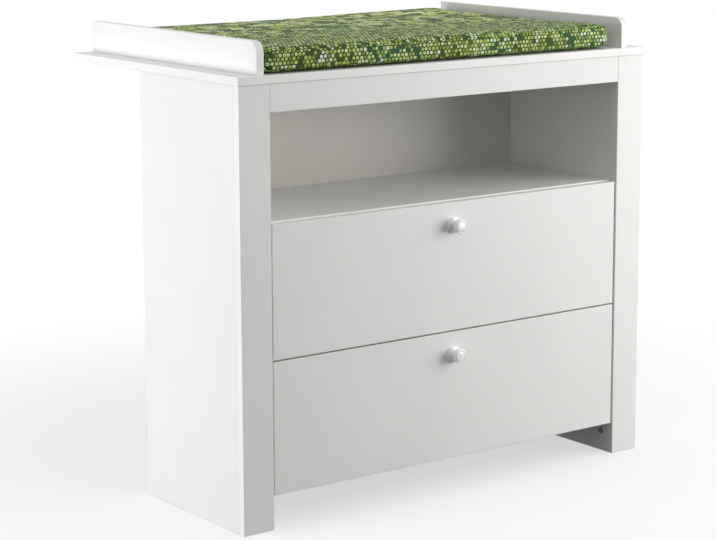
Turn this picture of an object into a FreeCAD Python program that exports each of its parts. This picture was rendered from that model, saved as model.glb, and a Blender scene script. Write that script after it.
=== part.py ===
import FreeCAD, Part
import os

import Sketcher
from FreeCAD import Placement, Rotation, Vector

# A changing dresser: a white board carcass with hollow sides, an open compartment, two deep drawers
# on roller runners, and a deep changing top with two guard rails and a soft mat.
# Millimetres. +Z up, +X to the right seen from the front, +Y to the back.
# The origin is on the floor, midway between the knobs' faces and the top's rear edge.

SIZES = {
    # carcass
    "carcass_width": (1000, "over the two hollow sides"),
    "carcass_height": (844, "floor to the underside of the top"),
    "panel": (16, "thickness of the carcass boards"),
    "stile_width": (68, "width of a hollow side"),
    "fascia_height": (53, "rail between the stiles under the top"),
    "rear_rail_height": (70, "rail under the top at the back"),
    "hardboard": (3, "thickness of the back and of the drawer bottoms"),
    "rebate": (10, "lip of the inner sides that the back panel lies on"),
    "back_play": (0.3, "play of the back panel in its rebates"),
    "edge_round": (1, "rounding of the edge bands"),
    # changing top
    "top_panel": (16, "thickness of the changing top"),
    "top_side_overhang": (2, "top beyond the carcass, each side"),
    "top_front_overhang": (2, "top beyond the stiles"),
    "top_rear_overhang": (255, "top beyond the rear of the carcass"),
    "guard_panel": (16, "thickness of a guard rail"),
    "guard_height": (62, "height of a guard rail above the top"),
    "guard_inset": (44, "side edge of the top to the guard rail"),
    "guard_setback": (5, "front edge of the top to the guard rail"),
    "guard_corner": (20, "rounding of the guard rail's upper front corner"),
    # mat
    "mat_thickness": (50, "changing mat"),
    "mat_corner": (22, "rounding of the mat's corners seen from above"),
    "mat_left_gap": (3, "left guard rail to the mat"),
    "mat_right_gap": (26, "right guard rail to the mat"),
    "mat_front_setback": (8, "front edge of the top to the mat"),
    "mat_rear_setback": (12, "rear edge of the top to the mat"),
    "soft_gap": (0.3, "clearance under the mat"),
    # drawer fronts
    "leg_opening": (66, "floor to the lower drawer front"),
    "front_height": (257, "height of a drawer front"),
    "front_panel": (16, "thickness of a drawer front"),
    "front_gap": (3, "gap between the two fronts"),
    "front_side_gap": (3.5, "gap between a front and a stile"),
    "front_recess": (2, "drawer fronts behind the stiles' faces"),
    "shelf_reveal": (3, "shelf surface above the upper front"),
    "shelf_clearance": (1, "drawer fronts to the edges of shelf and bottom"),
    "bottom_lap": (4, "lower front below the bottom board"),
    # drawer boxes
    "drawer_panel": (12, "thickness of drawer sides and backs"),
    "back_clearance": (24, "rear of a drawer to the back panel"),
    "drawer_height": (190, "height of a drawer side"),
    "groove_lift": (10, "lower edge of a drawer side to its groove"),
    "groove_depth": (6, "depth of the groove for the bottom"),
    "groove_play": (0.1, "play of the bottom in its groove"),
    "brace_width": (50, "strip under the drawer bottom"),
    "brace_thickness": (8, "strip under the drawer bottom"),
    "brace_tongue": (4, "strip let into the drawer front"),
    # roller runners
    "runner_length": (300, "cabinet and drawer members, and depth of a drawer side"),
    "runner_steel": (1.2, "sheet thickness of the runners"),
    "runner_space": (12.5, "inner side to drawer side"),
    "runner_lift": (25, "lower edge of a front to its track floor"),
    "runner_play": (1, "sideways play between the members"),
    "runner_start": (3, "back of the drawer front to the cabinet member"),
    "track_height": (21, "inside height of the cabinet member"),
    "lift_out": (30, "upper flange cut away at the front, where a drawer lifts out"),
    "side_drop": (1, "lower edge of a drawer side below the track floor"),
    "flange_tip": (3, "inner side to the edge of the drawer member's flange"),
    "roller_radius": (9, "nylon roller"),
    "roller_width": (6, "nylon roller"),
    "roller_inset": (11, "end of a member to its roller's axle"),
    "roller_play": (0.5, "roller to the member beside it"),
    "front_lift": (0.5, "front roller above the track floor"),
    "rolling_gap": (0.2, "rear roller above the track floor, and flange above the front roller"),
    "axle_radius": (2.5, "riveted axle of a roller"),
    "axle_fit": (0.06, "radial clearance of a roller on its axle"),
    "rivet_radius": (3.6, "head of the axle"),
    "rivet_height": (0.7, "head of the axle"),
    # knobs
    "knob_length": (25, "front's face to the knob's face"),
    "knob_foot": (16.5, "radius of the foot"),
    "knob_plate": (2.8, "thickness of the foot"),
    "knob_neck": (6.5, "radius of the neck"),
    "knob_flare": (8.5, "front's face to where the neck flares into the head"),
    "knob_head": (14.5, "radius of the head"),
    "knob_rim": (3, "width of the head's rim"),
    "knob_shoulder": (4.5, "rim to the knob's face"),
    "knob_face": (11, "radius of the knob's face"),
    "knob_drop": (46, "upper edge of a front to its knob"),
    # cam fittings
    "cam_radius": (7.4, "cam that draws a stile to its inner side"),
    "cam_depth": (12.5, "depth of a cam"),
    "cam_play": (0.1, "radial clearance of a cam in its pocket"),
    "cam_floor": (0.5, "pocket below the cam"),
    "cam_reach": (20, "stile to the middle of a cam"),
    "cam_low": (42, "floor to the lowest cam"),
    "cam_high": (32, "top of the side to the highest cam"),
}


class Length:
    """A size that carries its value and the sheet formula that it is bound by."""

    def __init__(self, value, formula):
        self.value = value
        self.formula = formula

    @staticmethod
    def of(other):
        return other if isinstance(other, Length) else Length(float(other), str(other))

    def combined(self, sign, other, value):
        return Length(value, f"({self.formula} {sign} {other.formula})")

    def __add__(self, other):
        other = Length.of(other)
        return self.combined("+", other, self.value + other.value)

    def __sub__(self, other):
        other = Length.of(other)
        return self.combined("-", other, self.value - other.value)

    def __mul__(self, other):
        other = Length.of(other)
        return self.combined("*", other, self.value * other.value)

    def __truediv__(self, other):
        other = Length.of(other)
        return self.combined("/", other, self.value / other.value)

    def __neg__(self):
        return Length(-self.value, f"(0 - {self.formula})")

    __radd__ = __add__
    __rmul__ = __mul__

    def __rsub__(self, other):
        return Length.of(other) - self


class Sizes:
    """The cells of the sheet as lengths, one attribute each."""

    def __init__(self, sheet):
        for name in SIZES:
            setattr(self, name, Length(float(sheet.get(name)), f"Sizes.{name}"))


def make_sheet():
    sheet = doc.addObject("Spreadsheet::Sheet", "Sizes")
    for row, (name, (value, note)) in enumerate(SIZES.items(), start=1):
        sheet.set(f"A{row}", note)
        sheet.set(f"B{row}", str(value))
        sheet.setAlias(f"B{row}", name)
    doc.recompute()
    return Sizes(sheet)


doc = FreeCAD.newDocument("changing_dresser")
s = make_sheet()
nodes = {}

X, Z = Vector(1, 0, 0), Vector(0, 0, 1)
TOUCH = 0.01

# Places that several pieces share. The runners set the depth of the carcass.
CARCASS_DEPTH = s.front_recess + s.front_panel + s.runner_length + s.back_clearance + s.hardboard
FRONT = (s.knob_length - s.front_recess - CARCASS_DEPTH - s.top_rear_overhang) / 2
REAR = FRONT + CARCASS_DEPTH
HALF = s.carcass_width / 2
INNER = HALF - s.stile_width
TOP_FRONT = FRONT - s.top_front_overhang
TOP_HALF = HALF + s.top_side_overhang
TOP_LOW = s.carcass_height
TOP_HIGH = s.carcass_height + s.top_panel
GUARD_OUT = TOP_HALF - s.guard_inset
BOX_FRONT = FRONT + s.front_recess + s.front_panel
SHELF_FRONT = BOX_FRONT + s.shelf_clearance
BOTTOM_LOW = s.leg_opening + s.bottom_lap
UPPER_BASE = s.leg_opening + s.front_height + s.front_gap
SHELF_LOW = UPPER_BASE + s.front_height + s.shelf_reveal - s.panel
DRAWER_HALF = INNER - s.runner_space
RUNNER_FRONT = BOX_FRONT + s.runner_start

# Heights in a runner, above its track floor.
FRONT_AXLE = s.roller_radius + s.front_lift
RAIL_LOW = FRONT_AXLE + s.roller_radius + s.rolling_gap
REAR_AXLE = s.roller_radius + s.rolling_gap


def bind(thing, path, length):
    thing.setExpression(path, Length.of(length).formula)


def place(thing, low, rotation=None):
    """Puts a piece's own origin at a place given by three lengths."""
    thing.Placement = Placement(Vector(), rotation or Rotation())
    for axis, length in zip("xyz", low):
        bind(thing, f"Placement.Base.{axis}", length)


def origin_plane(body, role):
    return next(part for part in body.Origin.OriginFeatures if part.Role == role)


def new_body(label):
    body = doc.addObject("PartDesign::Body", label)
    body.Label = label
    nodes[label] = body
    return body


def new_sketch(body, role, lift=None):
    """A sketch on one of the body's own planes, or lifted off it along its normal."""
    sketch = body.newObject("Sketcher::SketchObject", "sketch")
    sketch.AttachmentSupport = [(origin_plane(body, role), "")]
    sketch.MapMode = "FlatFace"
    if lift is not None:
        bind(sketch, "AttachmentOffset.Base.z", lift)
    return sketch


def fix_point(sketch, geometry, end, point):
    for kind, length in zip(("DistanceX", "DistanceY"), point):
        rule = Sketcher.Constraint(kind, -1, 1, geometry, end, Length.of(length).value)
        bind(sketch, f"Constraints[{sketch.addConstraint(rule)}]", length)


def draw(sketch, outline):
    """A closed outline of straight lines through its corners."""
    flat = [Vector(Length.of(x).value, Length.of(y).value, 0) for x, y in outline]
    lines = [
        sketch.addGeometry(Part.LineSegment(start, end), False)
        for start, end in zip(flat, flat[1:] + flat[:1])
    ]
    for line, after in zip(lines, lines[1:] + lines[:1]):
        sketch.addConstraint(Sketcher.Constraint("Coincident", line, 2, after, 1))
    for line, corner in zip(lines, outline):
        fix_point(sketch, line, 1, corner)


def draw_circles(sketch, points, radius):
    for point in points:
        centre = Vector(Length.of(point[0]).value, Length.of(point[1]).value, 0)
        circle = Part.Circle(centre, Z, Length.of(radius).value)
        geometry = sketch.addGeometry(circle, False)
        rule = Sketcher.Constraint("Radius", geometry, Length.of(radius).value)
        bind(sketch, f"Constraints[{sketch.addConstraint(rule)}]", radius)
        fix_point(sketch, geometry, 3, point)


def pad(body, sketch, length, backwards=False):
    feature = body.newObject("PartDesign::Pad", "pad")
    feature.Profile = sketch
    feature.Reversed = backwards
    bind(feature, "Length", length)
    return feature


def pocket(body, sketch, length, backwards=False):
    feature = body.newObject("PartDesign::Pocket", "pocket")
    feature.Profile = sketch
    feature.Reversed = backwards
    bind(feature, "Length", length)
    return feature


def round_edges(body, radius, wanted):
    """Rounds the edges of the body's last feature that a test picks."""
    doc.recompute()
    base = body.Tip
    picked = [f"Edge{i}" for i, edge in enumerate(base.Shape.Edges, start=1) if wanted(edge)]
    feature = body.newObject("PartDesign::Fillet", "rounding")
    feature.Base = (base, picked)
    bind(feature, "Radius", radius)


def turned(label, outline):
    """A piece turned about its own Z axis; outline corners are (radius, height)."""
    body = new_body(label)
    sketch = new_sketch(body, "XZ_Plane")
    draw(sketch, outline)
    feature = body.newObject("PartDesign::Revolution", "turning")
    feature.Profile = sketch
    feature.ReferenceAxis = (sketch, ["V_Axis"])
    feature.Angle = 360
    return body


def rectangle(low, high):
    return [(low[0], low[1]), (high[0], low[1]), (high[0], high[1]), (low[0], high[1])]


# Faces of a board: the plane to sketch on, the two axes drawn in, the axis across, and whether the
# face is the high one. The XZ plane's normal points to the front.
FACES = {
    "left": ("YZ_Plane", 1, 2, 0, False),
    "right": ("YZ_Plane", 1, 2, 0, True),
    "front": ("XZ_Plane", 0, 2, 1, False),
    "rear": ("XZ_Plane", 0, 2, 1, True),
    "under": ("XY_Plane", 0, 1, 2, False),
    "upper": ("XY_Plane", 0, 1, 2, True),
}


class Board:
    """A flat board with its lowest corner at low; cuts are given at their place in the dresser."""

    def __init__(self, label, low, size):
        self.low, self.size = low, size
        self.body = new_body(label)
        sketch = new_sketch(self.body, "XY_Plane")
        draw(sketch, rectangle((0, 0), size[:2]))
        pad(self.body, sketch, size[2])
        place(self.body, low)

    def on_face(self, edge, face):
        _, _, _, axis, high = FACES[face]
        level = Length.of(self.size[axis]).value if high else 0
        box = edge.BoundBox
        low, top = [(box.XMin, box.XMax), (box.YMin, box.YMax), (box.ZMin, box.ZMax)][axis]
        return abs(low - level) < TOUCH and abs(top - level) < TOUCH

    def rounded(self, *faces):
        wanted = lambda edge: any(self.on_face(edge, face) for face in faces)
        round_edges(self.body, s.edge_round, wanted)
        return self

    def face_sketch(self, face):
        role, _, _, axis, high = FACES[face]
        level = Length.of(self.size[axis]) if high else Length.of(0)
        return new_sketch(self.body, role, -level if role == "XZ_Plane" else level)

    def local(self, face, point):
        _, first, second, _, _ = FACES[face]
        return [Length.of(point[axis]) - self.low[axis] for axis in (first, second)]

    def cut(self, face, sketch, depth):
        role, _, _, _, high = FACES[face]
        pocket(self.body, sketch, depth, backwards=high == (role == "XZ_Plane"))

    def drill(self, face, points, radius, depth):
        sketch = self.face_sketch(face)
        draw_circles(sketch, [self.local(face, point) for point in points], radius)
        self.cut(face, sketch, depth)

    def groove(self, face, low, high, depth):
        sketch = self.face_sketch(face)
        draw(sketch, rectangle(self.local(face, low), self.local(face, high)))
        self.cut(face, sketch, depth)


def mirrored(label, source):
    copy = doc.addObject("Part::Mirroring", label)
    copy.Label = label
    copy.Source = source
    copy.Normal = X
    nodes[label] = copy


def copies(label, body, spots):
    """One node of alike small pieces: links to a pattern piece, which is no node itself."""
    del nodes[body.Label]
    links = []
    for point, rotation in spots:
        link = doc.addObject("App::Link", "link")
        link.LinkedObject = body
        place(link, point, rotation)
        links.append(link)
    node = doc.addObject("Part::Compound", label)
    node.Label = label
    node.Links = links
    nodes[label] = node


# ---------------------------------------------------------------- hollow sides

side_low = FRONT + s.panel
side_size = (s.panel, CARCASS_DEPTH - s.panel, s.carcass_height)
outer = Board("side_outer_left", (-HALF, side_low, 0), side_size).rounded("left")
inner = Board("side_inner_left", (-INNER - s.panel, side_low, 0), side_size)
stile_size = (s.stile_width, s.panel, s.carcass_height)
stile = Board("stile_left", (-HALF, FRONT, 0), stile_size).rounded("front")
batten_size = (s.stile_width - 2 * s.panel, s.panel, s.carcass_height)
batten = Board("rear_batten_left", (s.panel - HALF, REAR - s.panel, 0), batten_size)

# The inner side is rebated at the back for the back panel, and holds the cams that draw the stile
# to it, flush with its face.
inner.groove("rear", (-INNER - s.rebate, 0, 0), (-INNER, 0, s.carcass_height), s.hardboard)
cam_heights = (s.cam_low, s.carcass_height / 2, s.carcass_height - s.cam_high)
cam_points = [(-INNER, side_low + s.cam_reach, z) for z in cam_heights]
inner.drill("right", cam_points, s.cam_radius + s.cam_play, s.cam_depth + s.cam_floor)
cam = turned("cam_pattern", rectangle((0, -s.cam_depth), (s.cam_radius, 0)))
left_cams = [(point, Rotation(Z, X)) for point in cam_points]
right_cams = [((-x, y, z), Rotation(Z, -X)) for x, y, z in cam_points]
copies("cam_fittings", cam, left_cams + right_cams)

# ---------------------------------------------------------------- rails, shelf, bottom and back

clear_width = 2 * INNER
fascia_low = (-INNER, FRONT, TOP_LOW - s.fascia_height)
Board("fascia_rail", fascia_low, (clear_width, s.panel, s.fascia_height)).rounded("front")
rear_rail_low = (-INNER, REAR - s.hardboard - s.panel, TOP_LOW - s.rear_rail_height)
Board("rear_rail", rear_rail_low, (clear_width, s.panel, s.rear_rail_height))
deck_size = (clear_width, REAR - s.hardboard - SHELF_FRONT, s.panel)
Board("shelf_board", (-INNER, SHELF_FRONT, SHELF_LOW), deck_size).rounded("front")
Board("bottom_board", (-INNER, SHELF_FRONT, BOTTOM_LOW), deck_size).rounded("front")
back_half = INNER + s.rebate - s.back_play
back_low = (-back_half, REAR - s.hardboard, BOTTOM_LOW)
Board("back_panel", back_low, (2 * back_half, s.hardboard, TOP_LOW - BOTTOM_LOW))

# ---------------------------------------------------------------- changing top and guard rails

TOP_REAR = REAR + s.top_rear_overhang
top_size = (2 * TOP_HALF, TOP_REAR - TOP_FRONT, s.top_panel)
Board("top_board", (-TOP_HALF, TOP_FRONT, TOP_LOW), top_size).rounded("upper", "under")

guard_front = TOP_FRONT + s.guard_setback
guard_size = (s.guard_panel, TOP_REAR - guard_front, s.guard_height)
guard = Board("guard_rail_left", (-GUARD_OUT, guard_front, TOP_HIGH), guard_size)


def upper_front_corner(edge):
    box = edge.BoundBox
    return box.YMax < TOUCH and box.ZMin > s.guard_height.value - TOUCH


round_edges(guard.body, s.guard_corner, upper_front_corner)
guard.rounded("left", "right")

# ---------------------------------------------------------------- mat


def upright(edge):
    return edge.BoundBox.ZLength > s.mat_thickness.value - TOUCH


mat_left = s.guard_panel + s.mat_left_gap - GUARD_OUT
mat_right = GUARD_OUT - s.guard_panel - s.mat_right_gap
mat_front = TOP_FRONT + s.mat_front_setback
mat_size = (mat_right - mat_left, TOP_REAR - s.mat_rear_setback - mat_front, s.mat_thickness)
mat = Board("mat", (mat_left, mat_front, TOP_HIGH + s.soft_gap), mat_size)
round_edges(mat.body, s.mat_corner, upright)

# ---------------------------------------------------------------- runners and rollers


def axle(body, lift, y, z, backwards):
    """A riveted axle on a runner's web: a pin and its head, which keeps the roller on."""
    length = 2 * s.roller_play + s.roller_width
    pin = new_sketch(body, "YZ_Plane", lift)
    draw_circles(pin, [(y, z)], s.axle_radius)
    pad(body, pin, length, backwards)
    head = new_sketch(body, "YZ_Plane", lift - length if backwards else lift + length)
    draw_circles(head, [(y, z)], s.rivet_radius)
    pad(body, head, s.rivet_height, backwards)


def cabinet_runner(name, track):
    """C-shaped member on the inner side, with an axle at its front for a roller. Its upper flange
    starts behind an opening, where the drawer's rear roller lifts out."""
    body = new_body(f"runner_{name}_left")
    steel, high = s.runner_steel, s.track_height
    flange = s.runner_space - steel - s.runner_play
    outline = [
        (0, -steel),
        (flange, -steel),
        (flange, 0),
        (steel, 0),
        (steel, high),
        (flange, high),
        (flange, high + steel),
        (0, high + steel),
    ]
    profile = new_sketch(body, "XZ_Plane")
    draw(profile, outline)
    pad(body, profile, s.runner_length, backwards=True)
    opening = new_sketch(body, "XY_Plane", high)
    draw(opening, rectangle((steel, 0), (flange, s.lift_out)))
    pocket(body, opening, steel, backwards=True)
    axle(body, steel, s.roller_inset, FRONT_AXLE, backwards=False)
    place(body, (-INNER, RUNNER_FRONT, track))
    mirrored(f"runner_{name}_right", body)


def drawer_runner(name, track):
    """Z-shaped member under a drawer side, with an axle at its rear for a roller."""
    body = new_body(f"drawer_{name}_runner_left")
    steel, low, high = s.runner_steel, -s.side_drop, RAIL_LOW
    web, toe = s.runner_space - steel, s.runner_space + s.drawer_panel
    outline = [
        (web, low - steel),
        (toe, low - steel),
        (toe, low),
        (s.runner_space, low),
        (s.runner_space, high + steel),
        (s.flange_tip, high + steel),
        (s.flange_tip, high),
        (web, high),
    ]
    profile = new_sketch(body, "XZ_Plane")
    draw(profile, outline)
    pad(body, profile, s.runner_length, backwards=True)
    axle(body, web, s.runner_length - s.roller_inset, REAR_AXLE, backwards=True)
    place(body, (-INNER, BOX_FRONT, track))
    mirrored(f"drawer_{name}_runner_right", body)


def roller(label, left, y, z):
    """Nylon roller; left is the x of its left face."""
    bore = s.axle_radius + s.axle_fit
    body = turned(label, rectangle((bore, 0), (s.roller_radius, s.roller_width)))
    place(body, (left, y, z), Rotation(Z, X))


def roller_pair(name, where, inset, y, z):
    """The two rollers at one end of a drawer's runners; inset is from the inner side."""
    roller(f"roller_{name}_{where}_left", inset - INNER, y, z)
    roller(f"roller_{name}_{where}_right", INNER - inset - s.roller_width, y, z)


# ---------------------------------------------------------------- drawers


def knob(name, y, z):
    """Turned knob: a flat foot, a neck that flares into the head, and a bevelled face."""
    rim_top = s.knob_length - s.knob_shoulder
    outline = [
        (0, 0),
        (s.knob_foot, 0),
        (s.knob_foot, s.knob_plate),
        (s.knob_neck, s.knob_plate),
        (s.knob_neck, s.knob_flare),
        (s.knob_head, rim_top - s.knob_rim),
        (s.knob_head, rim_top),
        (s.knob_face, s.knob_length),
        (0, s.knob_length),
    ]
    place(turned(f"drawer_{name}_knob", outline), (0, y, z), Rotation(X, 90))


def drawer(name, base):
    """One drawer: its boards, knob, runners and rollers, from its front's lower edge."""
    track = base + s.runner_lift
    side_z = track - s.side_drop
    rear = BOX_FRONT + s.runner_length
    clear_half = DRAWER_HALF - s.drawer_panel
    bottom_z = side_z + s.groove_lift
    back_z = bottom_z + s.hardboard
    prefix = f"drawer_{name}"

    front_half = INNER - s.front_side_gap
    front_low = (-front_half, FRONT + s.front_recess, base)
    front = Board(f"{prefix}_front", front_low, (2 * front_half, s.front_panel, s.front_height))
    front.rounded("front")
    side_size = (s.drawer_panel, s.runner_length, s.drawer_height)
    side = Board(f"{prefix}_side_left", (-DRAWER_HALF, BOX_FRONT, side_z), side_size)
    back_low = (-clear_half, rear - s.drawer_panel, back_z)
    back_size = (2 * clear_half, s.drawer_panel, side_z + s.drawer_height - back_z)
    Board(f"{prefix}_back", back_low, back_size)

    # The bottom slides in grooves of the front and the sides, under the back, on a brace.
    groove_half = clear_half + s.groove_depth
    groove_low, groove_high = bottom_z - s.groove_play, back_z + s.groove_play
    side.groove("right", (0, BOX_FRONT, groove_low), (0, rear, groove_high), s.groove_depth)
    front.groove("rear", (-groove_half, 0, groove_low), (groove_half, 0, groove_high), s.groove_depth)
    bottom_half = groove_half - s.groove_play
    bottom_front = BOX_FRONT - s.groove_depth + s.groove_play
    bottom_size = (2 * bottom_half, rear - bottom_front, s.hardboard)
    Board(f"{prefix}_bottom", (-bottom_half, bottom_front, bottom_z), bottom_size)
    seat_half = s.brace_width / 2 + s.groove_play
    seat_low = bottom_z - s.brace_thickness - s.groove_play
    seat_depth = s.brace_tongue + s.groove_play
    front.groove("rear", (-seat_half, 0, seat_low), (seat_half, 0, groove_low), seat_depth)
    brace_low = (-s.brace_width / 2, BOX_FRONT - s.brace_tongue, bottom_z - s.brace_thickness)
    brace_size = (s.brace_width, s.runner_length + s.brace_tongue, s.brace_thickness)
    Board(f"{prefix}_brace", brace_low, brace_size)

    knob(name, FRONT + s.front_recess, base + s.front_height - s.knob_drop)
    cabinet_runner(name, track)
    drawer_runner(name, track)
    front_inset = s.runner_steel + s.roller_play
    roller_pair(name, "front", front_inset, RUNNER_FRONT + s.roller_inset, track + FRONT_AXLE)
    rear_inset = s.runner_space - s.runner_steel - s.roller_play - s.roller_width
    roller_pair(name, "rear", rear_inset, rear - s.roller_inset, track + REAR_AXLE)
    mirrored(f"{prefix}_side_right", side.body)


drawer("upper", UPPER_BASE)
drawer("lower", s.leg_opening)

# ---------------------------------------------------------------- right-hand boards

mirrored("side_outer_right", outer.body)
mirrored("side_inner_right", inner.body)
mirrored("stile_right", stile.body)
mirrored("rear_batten_right", batten.body)
mirrored("guard_rail_right", guard.body)


def check_and_export():
    doc.recompute()
    for thing in doc.Objects:
        if {"Invalid", "Error"} & set(thing.State):
            raise RuntimeError(f"{thing.Label} ({thing.Name}) did not build")
    for thing in doc.findObjects("PartDesign::Pocket"):
        if thing.Shape.Volume > thing.BaseFeature.Shape.Volume - TOUCH:
            raise RuntimeError(f"{thing.Name} of {thing.getParentGroup().Label} cuts nothing")
    for label, node in nodes.items():
        if node.Shape.isNull() or not node.Shape.isValid():
            raise RuntimeError(f"{label} has no valid shape")
    for label, node in nodes.items():
        node.Shape.exportStep(f"parts/{label}.step")
    print(len(nodes), "nodes")


os.makedirs("parts", exist_ok=True)
check_and_export()
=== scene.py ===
"""Looks for a changing dresser: foil-faced boards, epoxy-coated roller runners with nylon rollers,
lacquered knobs, and a stuffed changing mat in a dotted wipeable cover, in a plain pale studio.
Metres. +Z up, +X to the right seen from the front, +Y to the back."""

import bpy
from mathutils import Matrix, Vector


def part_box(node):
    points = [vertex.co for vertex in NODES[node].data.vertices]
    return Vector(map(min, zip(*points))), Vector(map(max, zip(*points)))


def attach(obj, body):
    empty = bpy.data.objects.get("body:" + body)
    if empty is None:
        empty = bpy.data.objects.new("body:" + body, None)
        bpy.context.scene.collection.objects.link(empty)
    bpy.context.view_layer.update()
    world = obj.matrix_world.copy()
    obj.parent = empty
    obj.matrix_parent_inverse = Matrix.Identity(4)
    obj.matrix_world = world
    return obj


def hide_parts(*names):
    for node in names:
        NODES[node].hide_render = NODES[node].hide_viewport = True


bl_info = {
    "name": "Changing dresser looks",
    "version": (1, 0, 0),
    "blender": (4, 5, 0),
    "location": "3D View > Sidebar > Dresser",
    "description": "Finishes, fittings, soft mat and studio for a changing dresser",
    "category": "Object",
}

import math

import bmesh
import bpy
from bpy.props import FloatProperty, FloatVectorProperty, IntProperty, PointerProperty
from mathutils import Matrix, Vector
from mathutils.bvhtree import BVHTree

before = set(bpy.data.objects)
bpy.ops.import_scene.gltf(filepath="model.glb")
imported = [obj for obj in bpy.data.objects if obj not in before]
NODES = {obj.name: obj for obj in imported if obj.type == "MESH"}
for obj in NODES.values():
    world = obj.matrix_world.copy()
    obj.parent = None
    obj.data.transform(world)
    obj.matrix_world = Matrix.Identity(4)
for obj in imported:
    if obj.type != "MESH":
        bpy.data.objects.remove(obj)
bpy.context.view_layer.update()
MM = 0.001
TOUCH = 1e-6
DRAWERS = ("upper", "lower")
SIDES = {"left": -1, "right": 1}


# ---------------------------------------------------------------- sizes and colours to set


def colour(name, description, default):
    """A colour as it shows on screen, from 0 to 1."""
    return FloatVectorProperty(
        name=name, description=description, default=default, subtype="COLOR_GAMMA", min=0, max=1
    )


def length(name, description, default):
    """A length in metres."""
    return FloatProperty(name=name, description=description, default=default, unit="LENGTH", precision=4)


class BoardLooks(bpy.types.PropertyGroup):
    foil: colour("Foil", "Face of the boards", (0.925, 0.922, 0.912))
    band: colour("Edge band", "Narrow edges of the boards", (0.935, 0.932, 0.922))
    inside: colour("Drawer foil", "Thin boards of the drawer boxes", (0.905, 0.902, 0.89))
    # The hardboard lacquer is greyer than the foil: partly its own tone, partly painted shade that darkens
    # the back panel for the shade inside the open compartment.
    lacquer: colour("Hardboard lacquer", "Lacquered face of the hardboard", (0.825, 0.815, 0.785))
    hardboard: colour("Hardboard", "Bare rear face of the hardboard", (0.56, 0.42, 0.29))
    band_width: length("Band width", "Board corner to the glue line of its edge band", 0.0011)
    glue_line: length("Glue line", "Width of the glue line beside an edge band", 0.0003)


class FittingLooks(bpy.types.PropertyGroup):
    epoxy: colour("Runner coat", "Epoxy coat of the roller runners", (0.90, 0.90, 0.885))
    nylon: colour("Nylon", "Rollers", (0.89, 0.885, 0.85))
    zinc: colour("Zinc", "Screws and pins", (0.66, 0.665, 0.68))
    # The cams' dark brown is painted shade, for the shade that falls on the cams in the inner sides, not
    # the zinc's own colour.
    cast: colour("Cast zinc", "Cams, raw and dull", (0.36, 0.33, 0.30))
    lacquer: colour("Lacquer", "Knobs", (0.95, 0.95, 0.95))
    cross_arm: length("Cross arm", "Half the length of a cross recess", 0.0022)
    cross_half: length("Cross half width", "Half the width of a cross recess", 0.0005)


class MatLooks(bpy.types.PropertyGroup):
    ground: colour("Ground", "Cover between the dots", (0.16, 0.25, 0.09))
    shade: colour("Shade", "Darker areas of the cover", (0.10, 0.31, 0.19))
    pitch: length("Dot pitch", "Middle to middle of neighbouring dots", 0.0088)
    dot: FloatProperty(name="Dot size", description="Dot radius as a share of the pitch", default=0.43)
    middle_pitch: length("Middle dot pitch", "Middle to middle of the middle-sized dots", 0.02)
    large_pitch: length("Large dot pitch", "Middle to middle of the largest dots", 0.042)
    large_dot: FloatProperty(
        name="Large dot size", description="Dot radius as a share of its pitch", default=0.4
    )
    voxel: length("Voxel", "Mesh size of the stuffed shape", 0.006)
    pressure: FloatProperty(name="Filling", description="Pressure of the stuffing", default=4)
    swell: length("Swell", "Most that the stuffing pushes the cover out", 0.005)
    slack: length("Slack", "Cut of the cover inside the mat's full size", 0.004)
    frames: IntProperty(name="Frames", description="Steps of the cloth simulation", default=20)
    seam: length("Seam", "Radius of the seam along the edges", 0.0008)


class StudioLooks(bpy.types.PropertyGroup):
    lens: FloatProperty(name="Lens", description="Focal length in mm", default=109.45)
    yaw: FloatProperty(
        name="Yaw", description="View to the right", default=math.radians(37.64), unit="ROTATION"
    )
    pitch: FloatProperty(
        name="Pitch", description="View down", default=math.radians(10.14), unit="ROTATION"
    )
    place: FloatVectorProperty(
        name="Camera", description="Place of the camera", default=(-2.6396, -3.5627, 1.2718), unit="LENGTH"
    )
    shift: FloatVectorProperty(name="Shift", description="Lens shift", size=2, default=(-0.0698, -0.0503))
    sky: FloatProperty(name="Room light", description="Soft light from the walls", default=0.47)
    ceiling: FloatProperty(name="Ceiling light", description="Added to it from above", default=0.28)
    side: FloatProperty(name="Side light", description="Power of the lamp on the left, in W", default=54)
    front: FloatProperty(
        name="Front light", description="Power of the lamp at the front right, in W", default=65
    )
    floor: colour("Floor", "Studio floor as it is seen", (0.95, 0.95, 0.95))
    bounce: colour("Floor bounce", "Studio floor as it lights the object", (0.14, 0.10, 0.07))


class DresserLooks(bpy.types.PropertyGroup):
    boards: PointerProperty(type=BoardLooks)
    fittings: PointerProperty(type=FittingLooks)
    mat: PointerProperty(type=MatLooks)
    studio: PointerProperty(type=StudioLooks)


def looks():
    return bpy.context.scene.dresser_looks


# ---------------------------------------------------------------- material maths


class Value:
    """A number in a material. An expression on it adds the Math nodes that work it out."""

    def __init__(self, recipe, socket):
        self.recipe, self.socket = recipe, socket

    def maths(self, operation, *inputs):
        node = self.recipe.node("ShaderNodeMath", {"operation": operation}, dict(enumerate(inputs)))
        return Value(self.recipe, node.outputs[0])

    def __add__(self, other):
        return self.maths("ADD", self, other)

    def __sub__(self, other):
        return self.maths("SUBTRACT", self, other)

    def __rsub__(self, other):
        return self.maths("SUBTRACT", other, self)

    def __mul__(self, other):
        return self.maths("MULTIPLY", self, other)

    def __truediv__(self, other):
        return self.maths("DIVIDE", self, other)

    def __abs__(self):
        return self.maths("ABSOLUTE", self)

    def __mod__(self, other):
        return self.maths("FLOORED_MODULO", self, other)

    def __pow__(self, other):
        return self.maths("POWER", self, other)

    def __floor__(self):
        return self.maths("FLOOR", self)

    def least(self, other):
        return self.maths("MINIMUM", self, other)

    def most(self, other):
        return self.maths("MAXIMUM", self, other)

    __radd__ = __add__
    __rmul__ = __mul__


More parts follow.
